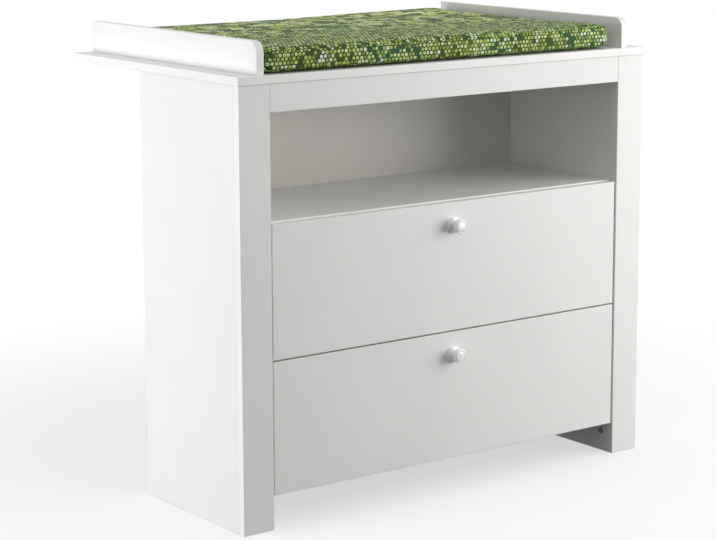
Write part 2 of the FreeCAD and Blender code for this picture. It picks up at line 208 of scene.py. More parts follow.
class Recipe:
    """A material being made around one Principled shader, whose plain sockets are given by name."""

    def __init__(self, name, **plain):
        self.material = bpy.data.materials.new(name)
        self.material.use_nodes = True
        self.tree = self.material.node_tree
        self.tree.nodes.clear()
        self.shader = self.node("ShaderNodeBsdfPrincipled", {}, {})
        for socket, value in plain.items():
            self.shader.inputs[socket.replace("_", " ")].default_value = value
        output = self.node("ShaderNodeOutputMaterial", {}, {})
        self.tree.links.new(self.shader.outputs[0], output.inputs["Surface"])

    @classmethod
    def around(cls, tree):
        """A recipe in a node tree that is there already, emptied first."""
        recipe = cls.__new__(cls)
        recipe.tree = tree
        tree.nodes.clear()
        return recipe

    def node(self, kind, settings, inputs):
        """Any node: its settings first, then the values or links of its sockets."""
        node = self.tree.nodes.new(kind)
        for name, value in settings.items():
            if name == "stops":
                self.set_stops(node.color_ramp, value)
            else:
                setattr(node, name, value)
        for key, value in inputs.items():
            socket = node.inputs[key]
            if isinstance(value, Value):
                value = value.socket
            if isinstance(value, bpy.types.NodeSocket):
                self.tree.links.new(value, socket)
            else:
                socket.default_value = value
        return node

    @staticmethod
    def set_stops(ramp, stops):
        while len(ramp.elements) < len(stops):
            ramp.elements.new(1)
        for element, (place, shade) in zip(ramp.elements, stops):
            element.position = place
            element.color = shade

    def value(self, kind, settings, inputs, output=0):
        return Value(self, self.node(kind, settings, inputs).outputs[output])

    def place(self):
        """Place on the piece in metres, as three values."""
        point = self.node("ShaderNodeTexCoord", {}, {}).outputs["Object"]
        return self.parts(point)

    def parts(self, vector):
        split = self.node("ShaderNodeSeparateXYZ", {}, {0: vector})
        return [Value(self, output) for output in split.outputs]

    def vector(self, x, y, z):
        return self.node("ShaderNodeCombineXYZ", {}, {0: x, 1: y, 2: z}).outputs[0]

    def stretched(self, *scales):
        """Place on the piece with a scale of its own along each axis."""
        return self.vector(*[value * scale for value, scale in zip(self.place(), scales)])

    def noise(self, scale, detail=2.0, vector=None, roughness=0.5):
        if vector is None:
            vector = self.node("ShaderNodeTexCoord", {}, {}).outputs["Object"]
        inputs = {"Vector": vector, "Scale": scale, "Detail": detail, "Roughness": roughness}
        return self.value("ShaderNodeTexNoise", {}, inputs, "Fac")

    def ramp(self, factor, stops):
        return self.node("ShaderNodeValToRGB", {"stops": stops}, {0: factor}).outputs[0]

    def mix(self, factor, first, second, blend="MIX"):
        settings = {"data_type": "RGBA", "blend_type": blend, "clamp_factor": True}
        node = self.node("ShaderNodeMix", settings, {0: factor, 6: first, 7: second})
        return node.outputs[2]

    def step(self, value, low, high):
        """0 below low, 1 above high, smooth between; high may be the lower one."""
        settings = {"interpolation_type": "SMOOTHSTEP"}
        inputs = {"Value": value, "From Min": low, "From Max": high}
        return self.value("ShaderNodeMapRange", settings, inputs)

    def finish(self, base, roughness, height=None, bump=0.2, depth=MM):
        self.tree.links.new(getattr(base, "socket", base), self.shader.inputs["Base Color"])
        self.tree.links.new(roughness.socket, self.shader.inputs["Roughness"])
        if height is not None:
            inputs = {"Strength": bump, "Distance": depth, "Height": height}
            normal = self.node("ShaderNodeBump", {}, inputs).outputs[0]
            self.tree.links.new(normal, self.shader.inputs["Normal"])
        return self.material


def linear(shade):
    """A screen colour as the light value that shaders use."""
    light = [c / 12.92 if c <= 0.04045 else ((c + 0.055) / 1.055) ** 2.4 for c in shade[:3]]
    return (*light, 1.0)


def toned(shade, factor):
    return (*[min(c * factor, 1) for c in shade[:3]], 1.0)


# ---------------------------------------------------------------- finishes


def foil_board(node, face, band):
    """Pressed foil on board: a fine pearl, a faint grain, hand marks, and glue lines beside the bands."""
    own = looks().boards
    recipe = Recipe(f"foil_{node}", Specular_IOR_Level=0.45)
    low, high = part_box(node)
    size = high - low
    inset = [(at - a).least(b - at) for at, a, b in zip(recipe.place(), low, high)]
    thin = min(range(3), key=lambda axis: size[axis])
    broad = recipe.step(inset.pop(thin), 0.6 * MM, 0.4 * MM)
    edge = inset[0].least(inset[1])
    line = broad * recipe.step(abs(edge - own.band_width), own.glue_line, 0)
    on_band = 1 - broad * recipe.step(edge, own.band_width - own.glue_line, own.band_width)

    grain_axis = 2 if node.endswith("_front") else max(range(3), key=lambda axis: size[axis])
    along_grain, across_grain = 5, 260
    scales = [along_grain if axis == grain_axis else across_grain for axis in range(3)]
    grain = recipe.noise(1, 3, recipe.stretched(*scales), 0.6)
    marks = recipe.noise(5.5, 3)
    pearl = recipe.noise(1400, 1)
    handled, grained, glued = 0.975, 0.984, 0.55
    shade = recipe.mix(recipe.step(marks, 0.35, 0.7), toned(face, handled), face)
    in_grain = recipe.mix(1.0, shade, toned((1, 1, 1), grained), "MULTIPLY")
    shade = recipe.mix(recipe.step(grain, 0.3, 0.7), in_grain, shade)
    shade = recipe.mix(on_band, shade, band)
    shade = recipe.mix(line * 0.35, shade, toned(face, glued))
    roughness = 0.36 + marks * 0.1 + pearl * 0.06 - on_band * 0.06
    height = pearl * 0.5 + grain * 0.5 - line * 1.5
    return recipe.finish(shade, roughness, height, bump=0.22, depth=0.2 * MM)


def hardboard(node):
    """Thin hardboard: white lacquer on the face, greyer than the boards partly of its own and partly as
    painted shade of the compartment, and the brown screen-pressed rear side.
    """
    own = looks().boards
    recipe = Recipe(f"hardboard_{node}", Specular_IOR_Level=0.4)
    normal = recipe.parts(recipe.node("ShaderNodeNewGeometry", {}, {}).outputs["Normal"])
    rear_side = normal[1] if node == "back_panel" else 0 - normal[2]
    white_side = 0 - rear_side
    bare = recipe.step(white_side, 0.6, 0.5)
    x, y, z = recipe.place()
    rise = z if node == "back_panel" else y
    wires = 700
    across = abs(x * wires % 1 - 0.5)
    upward = abs(rise * wires % 1 - 0.5)
    screen = across.most(upward)
    fibres = recipe.noise(1, 4, recipe.stretched(260, 260, 900), 0.65)
    marks = recipe.noise(6, 3)
    brown = linear(own.hardboard)
    shade = recipe.mix(recipe.step(fibres, 0.3, 0.75), toned(brown, 0.6), toned(brown, 1.25))
    # the lacquer's grey is partly its own and partly painted shade of the compartment
    lacquer = linear(own.lacquer)
    white = recipe.mix(recipe.step(marks, 0.3, 0.7), toned(lacquer, 0.95), lacquer)
    roughness = 0.42 + marks * 0.12 + bare * 0.3
    height = fibres * 0.3 + bare * screen * 0.9
    return recipe.finish(recipe.mix(bare, white, shade), roughness, height, bump=0.35, depth=0.3 * MM)


def epoxy_coat(name, track):
    """Powder-coated sheet: orange peel, and a burnished grey lane where the rollers run."""
    own = looks().fittings
    coat = linear(own.epoxy)
    recipe = Recipe(name, Specular_IOR_Level=0.5, Coat_Roughness=0.2, Coat_Weight=0.25)
    x = recipe.place()[0]
    lane = recipe.step(abs(abs(x) - track), 3.1 * MM, 2.4 * MM)
    normal = recipe.parts(recipe.node("ShaderNodeNewGeometry", {}, {}).outputs["Normal"])
    level = recipe.step(abs(normal[2]), 0.8, 0.95)
    scuffs = recipe.noise(1, 4, recipe.stretched(900, 30, 900), 0.6)
    worn = lane * level * recipe.step(scuffs, 0.3, 0.65)
    peel = recipe.noise(650, 1)
    shade = recipe.mix(worn * 0.55, coat, toned(coat, 0.52))
    roughness = 0.34 + peel * 0.12 - worn * 0.08
    return recipe.finish(shade, roughness, peel + scuffs * worn * 0.4, bump=0.25, depth=0.3 * MM)


def nylon():
    """Moulded nylon: milky, with a thin grey film of wear on the tread."""
    shade = linear(looks().fittings.nylon)
    recipe = Recipe("nylon", Specular_IOR_Level=0.4, Subsurface_Weight=0.15, Subsurface_Scale=0.002)
    film = recipe.noise(300, 4)
    grain = recipe.noise(2400, 1)
    base = recipe.mix(recipe.step(film, 0.35, 0.75) * 0.5, shade, toned(shade, 0.72))
    return recipe.finish(base, 0.42 + film * 0.2, grain, bump=0.15, depth=0.1 * MM)


def zinc(name="zinc"):
    """Zinc, plated or from the die: cloudy grey with a fine satin; the cams' zinc is darkened as painted
    shade.
    """
    own = looks().fittings
    # the cams take a darker colour as painted shade
    shade = linear(own.cast if name == "cast_zinc" else own.zinc)
    recipe = Recipe(name, Metallic=1.0)
    cloud = recipe.noise(420, 4)
    satin = recipe.noise(3000, 2)
    base = recipe.mix(recipe.step(cloud, 0.3, 0.7), toned(shade, 0.7), shade)
    return recipe.finish(base, 0.3 + cloud * 0.25, satin, bump=0.12, depth=0.1 * MM)


def lacquer():
    """White lacquer on turned wood: faint turning rings under a glossy coat."""
    shade = linear(looks().fittings.lacquer)
    recipe = Recipe("knob_lacquer", Specular_IOR_Level=0.5, Coat_Weight=0.6, Coat_Roughness=0.08)
    y = recipe.place()[1]
    waves = 5200
    rings = recipe.value("ShaderNodeMath", {"operation": "SINE"}, {0: y * waves})
    dip = recipe.noise(320, 2)
    base = recipe.mix(recipe.step(dip, 0.3, 0.7) * 0.4, shade, toned(shade, 0.93))
    return recipe.finish(base, 0.22 + dip * 0.12, rings * 0.2 + dip, bump=0.1, depth=0.2 * MM)


ROW_SHARE = 0.86
PRINTS = [
    (0.0, linear((0.28, 0.40, 0.20))),
    (0.2, linear((0.50, 0.56, 0.21))),
    (0.36, linear((0.64, 0.71, 0.31))),
    (0.54, linear((0.77, 0.84, 0.43))),
    (0.74, linear((0.90, 0.95, 0.62))),
    (0.88, linear((1.0, 1.0, 0.92))),
]


def rows_of_dots(recipe, u, v, pitch, share):
    """Staggered rows of uneven dots: the distance from each dot's middle in radii, its chance and place."""
    row_height = pitch * ROW_SHARE
    row = math.floor(v / row_height)
    shifted = u / pitch + row % 2 * 0.5
    column = math.floor(shifted)
    cell = recipe.vector(column, row, 0.5)
    settings = {"noise_dimensions": "3D"}
    chance = recipe.node("ShaderNodeTexWhiteNoise", settings, {"Vector": cell}).outputs["Color"]
    nudge_x, nudge_y, pick = recipe.parts(chance)
    across = (shifted - column - 0.5 + (nudge_x - 0.5) * 0.1) * pitch
    along = (v / row_height - row - 0.5 + (nudge_y - 0.5) * 0.1) * row_height
    away = (across * across + along * along) ** 0.5 / pitch * (1.2 - 0.2 * nudge_y) / share
    return away, pick, [column * pitch, row * row_height]


def scattered_dots(recipe, u, v, pitch, share):
    """Dots of many sizes scattered at random, told in the same way."""
    settings = {"voronoi_dimensions": "2D"}
    inputs = {"Vector": recipe.vector(u, v, 0), "Scale": 1 / pitch, "Randomness": 0.75}
    cells = recipe.node("ShaderNodeTexVoronoi", settings, inputs)
    size, _, pick = recipe.parts(cells.outputs["Color"])
    away = Value(recipe, cells.outputs["Distance"]) / (share * (0.75 + size * 0.5))
    return away, pick, recipe.parts(cells.outputs["Position"])[:2]


def dotted_cover():
    """Coated cloth printed with dots in greens: rows of small ones, thinned out in dark areas, and
    larger ones scattered among them towards the back of the top."""
    own = looks().mat
    recipe = Recipe("dotted_cover", Specular_IOR_Level=0.2)
    u, v, _ = recipe.parts(recipe.node("ShaderNodeUVMap", {"uv_map": "cover"}, {}).outputs[0])
    low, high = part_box("mat")
    drift = recipe.step(recipe.noise(9, 2, recipe.vector(u, v, 3.7)), 0.35, 0.65)
    ground = recipe.mix(drift, linear(own.shade), linear(own.ground))
    shade = ground
    raised = 0
    # how each layer is laid out, its pitch, its dots' radius as a share of that, and where on the
    # way to the back it begins
    layers = (
        (rows_of_dots, own.pitch, own.dot, None),
        (scattered_dots, own.middle_pitch, own.large_dot, 0.12),
        (scattered_dots, own.large_pitch, own.large_dot, 0.42),
    )
    for lay_out, pitch, share, begins in layers:
        away, pick, spot = lay_out(recipe, u, v, pitch, share)
        dot = recipe.step(away, 1, 0.88)
        rim = recipe.step(away, 0.4, 0.75)
        cluster = recipe.step(recipe.noise(0.55 / pitch, 2, recipe.vector(*spot, 0.5)), 0.34, 0.66)
        print_colour = recipe.ramp(pick * 0.74 + cluster * 0.26, PRINTS)
        printed = recipe.mix(rim, recipe.mix(0.42, print_colour, ground), print_colour)
        if begins is None:
            bare = recipe.step(cluster + (pick - 0.5) * 0.9, 0.08, 0.02)
            printed = recipe.mix(bare * 0.85, printed, ground)
        else:
            back = (spot[1] - low.y) / (high.y - low.y)
            present = recipe.step(back - begins - cluster * 0.25 - pick * 0.35, -0.2, -0.16)
            dot = dot * present
            printed = recipe.mix(recipe.step(pick, 0.4, 0.37) * 0.85, printed, ground)
        shade = recipe.mix(dot, shade, printed)
        raised = dot + raised

    threads = 2200
    warp = abs(u * threads % 1 - 0.5)
    weft = abs(v * threads % 1 - 0.5)
    puckers = recipe.noise(70, 3)
    height = (warp + weft) * 0.5 + puckers * 1.6 + raised.least(1) * 0.2
    roughness = 0.62 + puckers * 0.16 - raised.least(1) * 0.05
    return recipe.finish(shade, roughness, height, bump=0.3, depth=0.5 * MM)


def cached(name, make, *facts):
    return bpy.data.materials.get(name) or make(*facts)


def dress(obj, material):
    """Every face of an object in one finish; the mesh itself stays as it is."""
    if not obj.material_slots:
        obj.data.materials.append(material)
    for slot in obj.material_slots:
        slot.material = material


# ---------------------------------------------------------------- shapes


def new_piece(name, mesh, body, material, replaced=()):
    """A finished piece that rides on a body, takes a slot's finish and stands for CAD nodes."""
    piece = bpy.data.objects.new(name, mesh)
    bpy.context.scene.collection.objects.link(piece)
    dress(piece, material)
    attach(piece, body)
    if replaced:
        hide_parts(*replaced)
    return piece


def rounded(corners, steps=5):
    """Points of an outline whose corners are (distance from the axis, height, rounding)."""
    points = []
    for number, (across, up, rounding) in enumerate(corners):
        corner = Vector((across, up))
        if not rounding:
            points.append(corner)
            continue
        back = (Vector(corners[number - 1][:2]) - corner).normalized()
        ahead = (Vector(corners[(number + 1) % len(corners)][:2]) - corner).normalized()
        half = back.angle(ahead) / 2
        sweep = math.pi - 2 * half
        centre = corner + (back + ahead).normalized() * rounding / math.sin(half)
        reach = rounding / math.tan(half)
        start, end = corner + back * reach - centre, corner + ahead * reach - centre
        for step in range(steps + 1):
            share = step / steps
            bend = start * math.sin((1 - share) * sweep) + end * math.sin(share * sweep)
            points.append(centre + bend / math.sin(sweep))
    return points


def lathe(outline, steps=56, closed=False):
    """A turned shape about +Z, from points of (distance from the axis, height)."""
    shape = bmesh.new()
    rings = []
    for across, up in outline:
        if across < TOUCH:
            rings.append([shape.verts.new((0, 0, up))])
            continue
        angles = [2 * math.pi * k / steps for k in range(steps)]
        rings.append([shape.verts.new((across * math.cos(a), across * math.sin(a), up)) for a in angles])
    following = rings[1:] + (rings[:1] if closed else [])
    for lower, upper in zip(rings, following):
        for k in range(steps):
            corners = [lower[k % len(lower)], lower[(k + 1) % len(lower)]]
            corners += [upper[(k + 1) % len(upper)], upper[k % len(upper)]]
            corners = list(dict.fromkeys(corners))
            if len(corners) > 2:
                shape.faces.new(corners)
    return shape


def to_mesh(name, shape, smooth_angle=30):
    bmesh.ops.recalc_face_normals(shape, faces=shape.faces)
    mesh = bpy.data.meshes.new(name)
    shape.to_mesh(mesh)
    shape.free()
    mesh.shade_smooth()
    mesh.set_sharp_from_angle(angle=math.radians(smooth_angle))
    return mesh


def many(name, shape, places):
    """One mesh of copies of a shape, each put in its place by a matrix."""
    pattern = bpy.data.meshes.new(name)
    shape.to_mesh(pattern)
    shape.free()
    whole = bmesh.new()
    for place in places:
        start = len(whole.verts)
        whole.from_mesh(pattern)
        whole.verts.ensure_lookup_table()
        bmesh.ops.transform(whole, matrix=place, verts=whole.verts[start:])
    bpy.data.meshes.remove(pattern)
    return to_mesh(name, whole)


def facing(point, normal):
    """Puts a shape made about +Z at a point, with its top facing along the normal."""
    turn = Vector((0, 0, 1)).rotation_difference(Vector(normal))
    return Matrix.Translation(point) @ turn.to_matrix().to_4x4()


def cross_head(radius, height, bevel, depth):
    """Round head with its top at zero, a bevelled rim and a cross recess."""
    own = looks().fittings
    arm, half = own.cross_arm, own.cross_half
    corners = [(half, half), (half, arm), (-half, arm), (-half, half), (-arm, half), (-arm, -half)]
    corners += [(-x, -y) for x, y in corners]
    shape = lathe([(0, -height), (radius, -height), (radius, -bevel), (radius - bevel, 0)], steps=32)
    rim = [vert for vert in shape.verts if abs(vert.co.z) < TOUCH]
    rim_edges = [edge for edge in shape.edges if all(vert in rim for vert in edge.verts)]
    upper = [shape.verts.new((x, y, 0)) for x, y in corners]
    lower = [shape.verts.new((x, y, -depth)) for x, y in corners]
    cross_edges = []
    for k in range(len(corners)):
        after = (k + 1) % len(corners)
        cross_edges.append(shape.edges.new((upper[k], upper[after])))
        shape.faces.new((upper[k], upper[after], lower[after], lower[k]))
    bmesh.ops.triangle_fill(shape, edges=rim_edges + cross_edges, use_beauty=True)
    shape.faces.new(lower)
    return shape


# ---------------------------------------------------------------- operators


class StepOperator(bpy.types.Operator):
    """Shared by the steps that make the dresser's looks"""

    bl_options = {"REGISTER", "UNDO"}


class DRESSER_OT_studio(StepOperator):
    """Pale floor, soft lamps, even room light and the camera"""

    bl_idname = "dresser.studio"
    bl_label = "Studio"

    SIDE_LAMP = {"place": (-3.0, 0.5, 0.6), "target": (-0.5, 0.1, 0.45), "size": 1.2}
    FRONT_LAMP = {"place": (2.1, -1.75, 0.75), "target": (0.1, -0.3, 0.5), "size": 2.4}
    COOL, NEUTRAL = (0.955, 0.975, 1), (1, 1, 1)
    FLOOR_RADIUS = 7

    def execute(self, context):
        own = looks().studio
        self.add_floor(own)
        self.add_room(context, own)
        self.add_lamp("side_lamp", own.side, self.COOL, **self.SIDE_LAMP)
        self.add_lamp("front_lamp", own.front, self.NEUTRAL, **self.FRONT_LAMP)
        self.add_camera(context, own)
        return {"FINISHED"}

    def add_floor(self, own):
        shape = lathe([(0, 0), (self.FLOOR_RADIUS, 0)], steps=96)
        floor = bpy.data.objects.new("studio_floor", to_mesh("studio_floor", shape))
        bpy.context.scene.collection.objects.link(floor)
        floor.location.z = -0.4 * MM
        recipe = Recipe("studio_floor", Specular_IOR_Level=0.2, Roughness=0.8)
        x, y, _ = recipe.place()
        distance = (x * x + y * y) ** 0.5
        seen = self.seen_directly(recipe)
        grain = recipe.noise(30, 3)
        pale = recipe.mix(grain, toned(linear(own.floor), 0.985), linear(own.floor))
        recipe.finish(recipe.mix(seen, linear(own.bounce), pale), 0.75 + grain * 0.1)
        glow = recipe.node("ShaderNodeEmission", {}, {"Color": (1, 1, 1, 1), "Strength": 1.0})
        far = recipe.step(distance, 0.75, 1.7)
        share = seen * (0.6 + far * 0.4)
        inputs = {0: share, 1: recipe.shader.outputs[0], 2: glow.outputs[0]}
        blended = recipe.node("ShaderNodeMixShader", {}, inputs)
        output = recipe.tree.nodes["Material Output"]
        recipe.tree.links.new(blended.outputs[0], output.inputs["Surface"])
        dress(floor, recipe.material)

    @staticmethod
    def seen_directly(recipe):
        """1 for the camera and for what gloss or glass shows it, 0 for light on the object."""
        path = recipe.node("ShaderNodeLightPath", {}, {})
        camera, glossy, through = [
            Value(recipe, path.outputs[f"Is {ray} Ray"]) for ray in ("Camera", "Glossy", "Transmission")
        ]
        return camera.most(glossy).most(through)

    def add_room(self, context, own):
        """White to the camera; the object is lit by pale walls and a brighter ceiling."""
        world = bpy.data.worlds.new("studio_room")
        world.use_nodes = True
        context.scene.world = world
        recipe = Recipe.around(world.node_tree)
        up = recipe.parts(recipe.node("ShaderNodeTexCoord", {}, {}).outputs["Generated"])[2]
        strength = up.most(0) * own.ceiling + own.sky
        room = recipe.node("ShaderNodeBackground", {}, {"Color": (0.99, 0.995, 1, 1), "Strength": strength})
        white = recipe.node("ShaderNodeBackground", {}, {"Color": (1, 1, 1, 1), "Strength": 1.0})
        seen = self.seen_directly(recipe)
        blend = recipe.node("ShaderNodeMixShader", {}, {0: seen, 1: room.outputs[0], 2: white.outputs[0]})
        recipe.node("ShaderNodeOutputWorld", {}, {"Surface": blend.outputs[0]})

    def add_lamp(self, name, power, tint, place, target, size):
        data = bpy.data.lights.new(name, "AREA")
        data.shape = "DISK"
        data.size = size
        data.energy = power
        data.color = tint
        lamp = bpy.data.objects.new(name, data)
        bpy.context.scene.collection.objects.link(lamp)
        lamp.visible_camera = False
        lamp.location = place
        lamp.rotation_euler = (Vector(target) - Vector(place)).to_track_quat("-Z", "Y").to_euler()

    def add_camera(self, context, own):
        data = bpy.data.cameras.new("photo_camera")
        data.lens = own.lens
        data.shift_x, data.shift_y = own.shift
        data.clip_end = 50
        camera = bpy.data.objects.new("photo_camera", data)
        context.scene.collection.objects.link(camera)
        camera.location = own.place
        camera.rotation_euler = (math.pi / 2 - own.pitch, 0, -own.yaw)
        context.scene.camera = camera
        context.scene.view_settings.view_transform = "Standard"


class DRESSER_OT_boards(StepOperator):
    """Foil and edge bands on every board, lacquer and bare fibre on the hardboard"""

    bl_idname = "dresser.boards"
    bl_label = "Boards"

    def execute(self, context):
        own = looks().boards
        for name, node in NODES.items():
            kind = self.kind(name)
            if kind == "hardboard":
                dress(node, hardboard(name))
            elif kind == "thin":
                dress(node, foil_board(name, linear(own.inside), linear(own.inside)))
            elif kind == "board":
                dress(node, foil_board(name, linear(own.foil), linear(own.band)))
        return {"FINISHED"}

    @staticmethod
    def kind(name):
        if name == "back_panel" or name.endswith("_bottom"):
            return "hardboard"
        if name.startswith("drawer_") and name.endswith(("side_left", "side_right", "_back", "_brace")):
            return "thin"
        fittings = ("runner", "roller", "knob", "cam_fittings", "mat")
        return None if any(word in name for word in fittings) else "board"


class DRESSER_OT_runners(StepOperator):
    """Coated roller runners, with the screws that hold them"""

    bl_idname = "dresser.runners"
    bl_label = "Runners"

    def execute(self, context):
        for drawer in DRAWERS:
            for side in SIDES:
                cabinet, rolling = f"runner_{drawer}_{side}", f"drawer_{drawer}_runner_{side}"
                dress(NODES[cabinet], self.coat("rear", drawer, side))
                dress(NODES[rolling], self.coat("front", drawer, side))
        self.add_screws()
        return {"FINISHED"}

    @staticmethod
    def coat(roller, drawer, side):
        """The coat of a member, worn where the named roller runs on it."""
        low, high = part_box(f"roller_{drawer}_{roller}_{side}")
        return cached(f"epoxy_{roller}", epoxy_coat, f"epoxy_{roller}", abs(low.x + high.x) / 2)

    @staticmethod
    def add_screws():
        """Through the web of each cabinet member into the inner side."""
        web, above_web = 1.2 * MM, 1.4 * MM
        places = []
        for drawer in DRAWERS:
            for side, sign in SIDES.items():
                low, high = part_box(f"runner_{drawer}_{side}")
                outer = low.x if sign < 0 else high.x
                for share in (0.16, 0.5, 0.88):
                    y = low.y + (high.y - low.y) * share
                    point = (outer - sign * (web + above_web), y, (low.z + high.z) / 2)
                    places.append(facing(point, (-sign, 0, 0)))
        mesh = many("runner_screws", cross_head(3.3 * MM, 1.5 * MM, 0.7 * MM, 0.9 * MM), places)
        new_piece("runner_screws", mesh, "cabinet", cached("zinc", zinc))


class DRESSER_OT_fixings(StepOperator):
    """Pins that hold the back panel, and the guard rails' screws under the top"""

    bl_idname = "dresser.fixings"
    bl_label = "Pins and screws"

    def execute(self, context):
        pins = [facing(point, (0, 1, 0)) for point in self.pin_places()]
        self.add("back_pins", self.pin(2.2 * MM, 0.8 * MM), pins)
        screws = [facing(point, (0, 0, -1)) for point in self.screw_places()]
        self.add("guard_rail_screws", cross_head(4.0 * MM, 1.2 * MM, 0.8 * MM, 0.9 * MM), screws)
        return {"FINISHED"}

    @staticmethod
    def add(name, shape, places):
        new_piece(name, many(name, shape, places), "cabinet", cached("zinc", zinc))

    @staticmethod
    def pin(radius, height):
        """A domed pin head."""
        dome = [(radius, 0), (radius, height * 0.4), (radius * 0.8, height * 0.8), (0, height)]
        return lathe(dome, steps=20)

    @staticmethod
    def pin_places():
        """Round the panel's edge and along the shelf, on the panel's rear face."""
        low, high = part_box("back_panel")
        shelf_low, shelf_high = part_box("shelf_board")
        inset = 5 * MM
        beside = [low.x + inset, high.x - inset]
        rows = [low.z + 1.5 * inset, (shelf_low.z + shelf_high.z) / 2, high.z - 1.5 * inset]
        places = []
        for step in range(1, 7):
            up = low.z + (high.z - low.z) * step / 7
            across = low.x + (high.x - low.x) * step / 7
            places += [(x, high.y, up) for x in beside]
            places += [(across, high.y, z) for z in rows]
        return places

    @staticmethod
    def screw_places():
        """Under the part of the top that reaches past the back."""
        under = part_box("top_board")[0].z - 0.4 * MM
        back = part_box("back_panel")[1].y
        places = []
        for side in SIDES:
            low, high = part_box(f"guard_rail_{side}")
            for share in (0.15, 0.5, 0.85):
                places.append(((low.x + high.x) / 2, back + (high.y - back) * share, under))
        return places


class DRESSER_OT_rollers(StepOperator):
    """Nylon rollers with a hub, a dished web and a soft-edged tread"""

    bl_idname = "dresser.rollers"
    bl_label = "Rollers"

    def execute(self, context):
        for name in [name for name in NODES if name.startswith("roller_")]:
            low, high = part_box(name)
            width, tread = high.x - low.x, (high.z - low.z) / 2
            bore, hub, rim, dish = 2.56 * MM, 4.4 * MM, tread - 1.8 * MM, 1.1 * MM
            half = [
                (bore, 0, 0.2 * MM),
                (hub, 0, 0.3 * MM),
                (hub + 0.3 * MM, dish, 0.3 * MM),
                (rim, dish, 0.4 * MM),
                (rim + 0.2 * MM, 0, 0.3 * MM),
                (tread, 0, 0.7 * MM),
            ]
            outline = half + [(r, width - h, rounding) for r, h, rounding in reversed(half)]
            turned = lathe(rounded(outline, 4), steps=64, closed=True)
            axle = (low.x, (low.y + high.y) / 2, (low.z + high.z) / 2)
            mesh = many(name + "_turned", turned, [facing(axle, (1, 0, 0))])
            new_piece(name + "_turned", mesh, name, cached("nylon", nylon), [name])
        return {"FINISHED"}


class DRESSER_OT_cams(StepOperator):
    """Die-cast cams with a cross recess, flush in the inner sides"""

    bl_idname = "dresser.cams"
    bl_label = "Cam fittings"

    def execute(self, context):
        node = NODES["cam_fittings"]
        points = [vertex.co for vertex in node.data.vertices]
        inner = min(abs(point.x) for point in points)
        faces = [point for point in points if abs(abs(point.x) - inner) < 10 * TOUCH]
        low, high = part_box("cam_fittings")
        radius = (high.y - low.y) / 2
        places = []
        for sign in SIDES.values():
            for height in self.heights(faces, radius):
                places.append(facing((sign * inner, (low.y + high.y) / 2, height), (-sign, 0, 0)))
        mesh = many("cam_faces", cross_head(radius, 6 * MM, 0.5 * MM, 1.3 * MM), places)
        # the cams' finish: zinc darkened as painted shade
        shaded = cached("cast_zinc", zinc, "cast_zinc")
        new_piece("cam_faces", mesh, "cabinet", shaded, ["cam_fittings"])
        return {"FINISHED"}

    @staticmethod
    def heights(points, radius):
        """The heights of the cams' middles, from the points of their rims."""
        groups = []
        for z in sorted(point.z for point in points):
            if groups and z - groups[-1][-1] < radius:
                groups[-1].append(z)
            else:
                groups.append([z])
        return [(group[0] + group[-1]) / 2 for group in groups]


class DRESSER_OT_knobs(StepOperator):
    """Turned and lacquered knobs, with their screws inside the drawers"""

    bl_idname = "dresser.knobs"
    bl_label = "Knobs"

    def execute(self, context):
        for drawer in DRAWERS:
            node = f"drawer_{drawer}_knob"
            low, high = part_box(node)
            foot, length = (high.x - low.x) / 2, high.y - low.y
            middle = Vector(((low.x + high.x) / 2, high.y, (low.z + high.z) / 2))
            outline = self.outline(foot, length)
            mesh = many(f"turned_knob_{drawer}", lathe(outline, 72), [facing(middle, (0, -1, 0))])
            new_piece(f"turned_knob_{drawer}", mesh, f"drawer_{drawer}",
                      cached("knob_lacquer", lacquer), [node])
            rear_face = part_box(f"drawer_{drawer}_front")[1].y
            place = facing((middle.x, rear_face + 1.9 * MM, middle.z), (0, 1, 0))
            head = cross_head(4.2 * MM, 1.95 * MM, 0.9 * MM, 1.1 * MM)
            screw = many(f"knob_screw_{drawer}", head, [place])
            new_piece(f"knob_screw_{drawer}", screw, f"drawer_{drawer}", cached("zinc", zinc))
        return {"FINISHED"}

    @staticmethod
    def outline(foot, length):
        """Stepped foot, hollow neck, and a broad head with a groove round its nearly flat face."""
        ring, neck, head = foot * 0.8, foot * 0.36, foot * 0.885
        plate = length * 0.11
        corners = [
            (foot, 0, 0),
            (foot, plate, plate * 0.6),
            (ring + 0.8 * MM, plate, 0.3 * MM),
            (ring, plate * 1.9, plate * 0.45),
            (neck + 1.2 * MM, plate * 2.1, 1.0 * MM),
            (neck, length * 0.42, 3.0 * MM),
            (head - 1.6 * MM, length * 0.6, 1.2 * MM),
            (head, length * 0.66, 0.9 * MM),
            (head, length * 0.9, 1.4 * MM),
            (head - 2.3 * MM, length * 0.93, 0.5 * MM),
            (head - 2.7 * MM, length * 0.86, 0.3 * MM),
            (head - 3.9 * MM, length * 0.86, 0.3 * MM),
            (head - 4.3 * MM, length * 0.97, 0.7 * MM),
            (head * 0.35, length * 0.99, 4.0 * MM),
        ]
        return rounded([(0, 0, 0), *corners, (0, length, 0)], 6)


